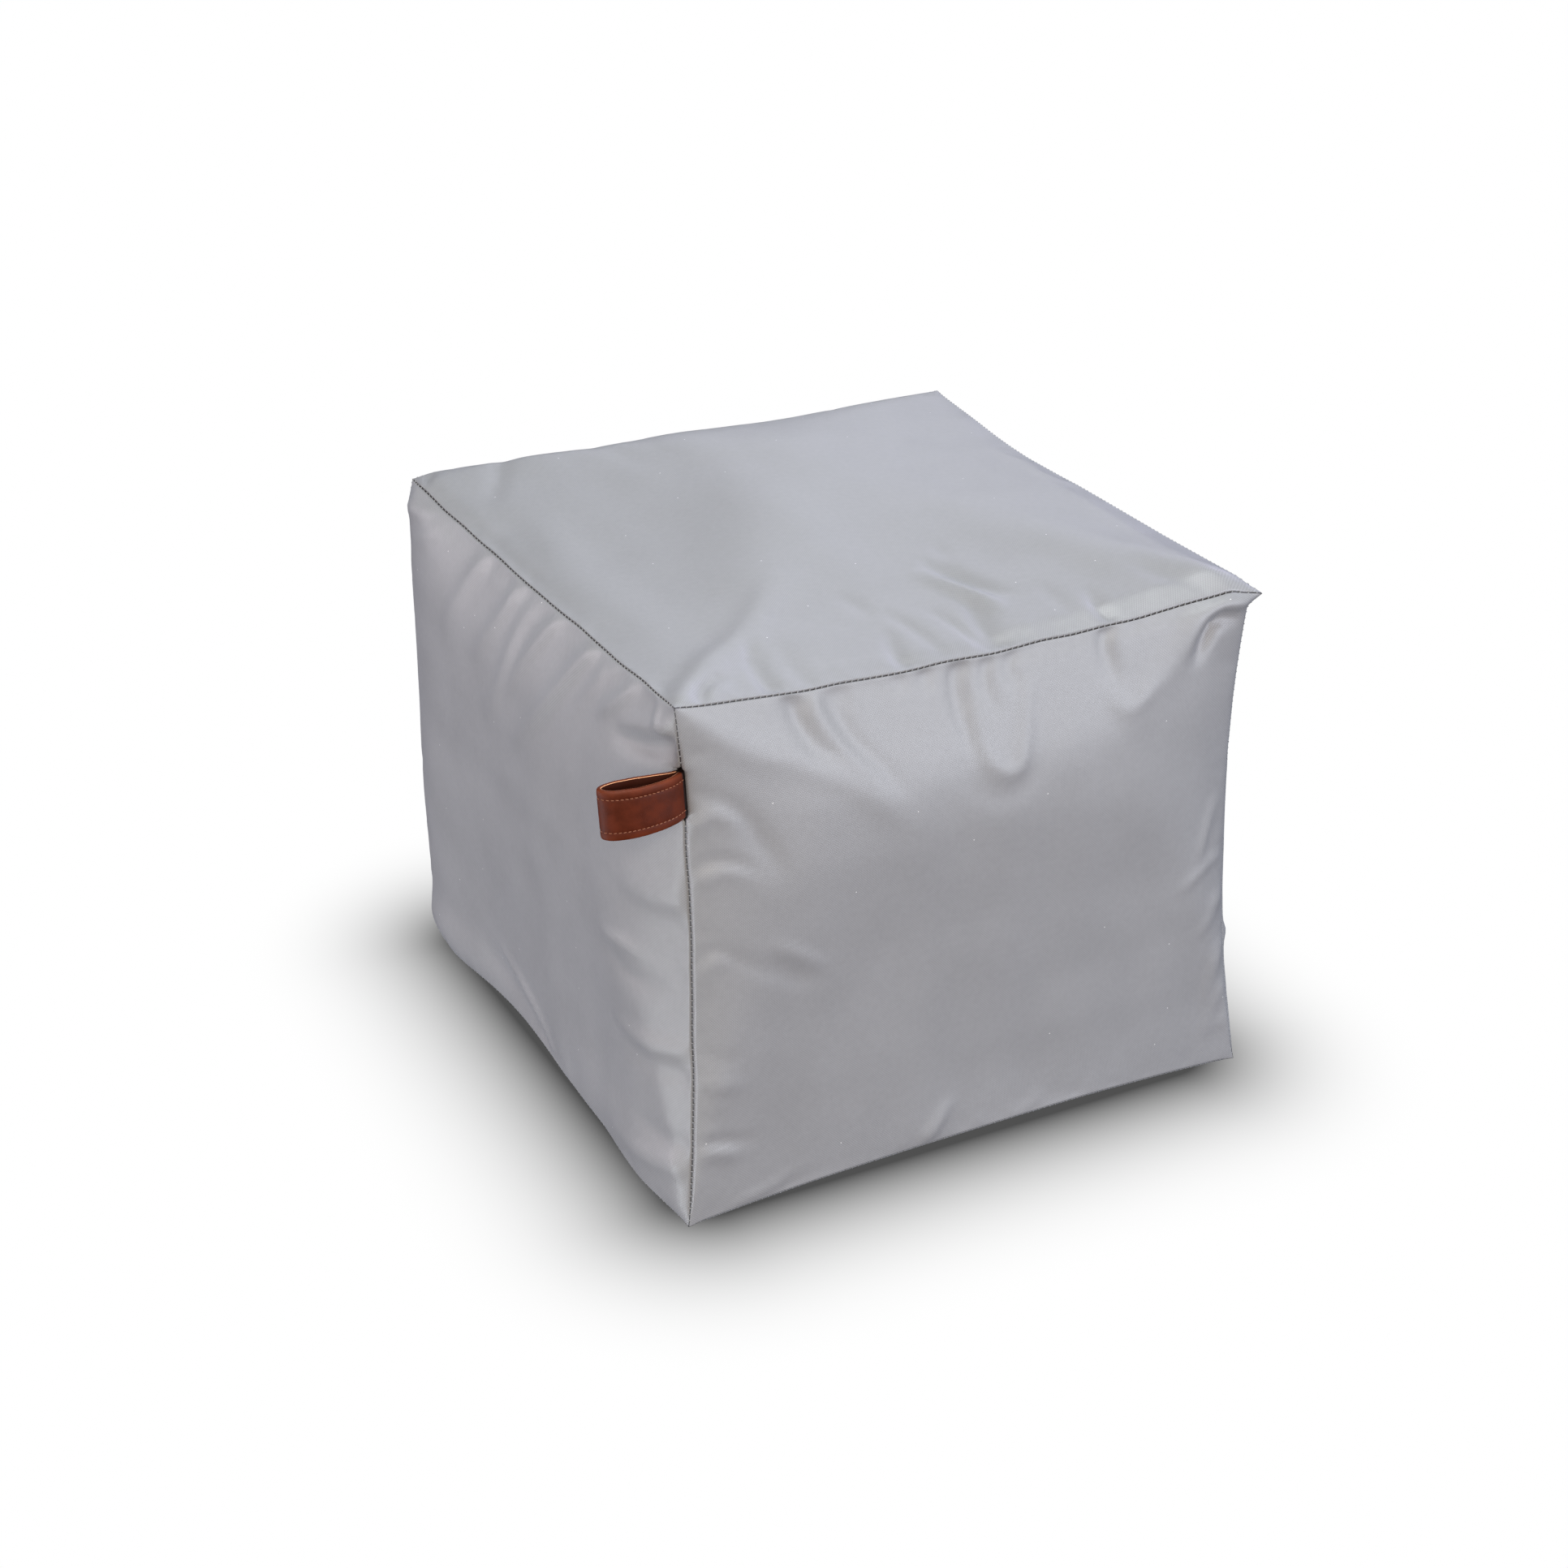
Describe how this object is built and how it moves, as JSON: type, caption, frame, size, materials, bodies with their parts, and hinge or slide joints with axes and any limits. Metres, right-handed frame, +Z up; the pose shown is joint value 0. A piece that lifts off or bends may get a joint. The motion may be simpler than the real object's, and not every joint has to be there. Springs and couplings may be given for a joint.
{
  "type": "cube pouf stool",
  "caption": "Soft filled cube footstool of light grey woven cloth, sewn from square panels, with a small leather loop in one upright seam.",
  "frame": {"origin": "middle of the flat base that rests on the floor", "axes": "+Z up; the front panel looks along -Y and the left panel along -X, and the loop stands out from the upright seam between them"},
  "size_m": [0.4505, 0.4331, 0.359],
  "materials": {
    "cover": "light grey plain-woven polyester, threads 0.8 mm apart, with a soft sheen",
    "loop": "brown leather strip, satin, topstitched along both edges"
  },
  "bodies": {
    "root": {"pouf_body": "cover", "loop_tab": "loop"}
  },
  "joints": []
}
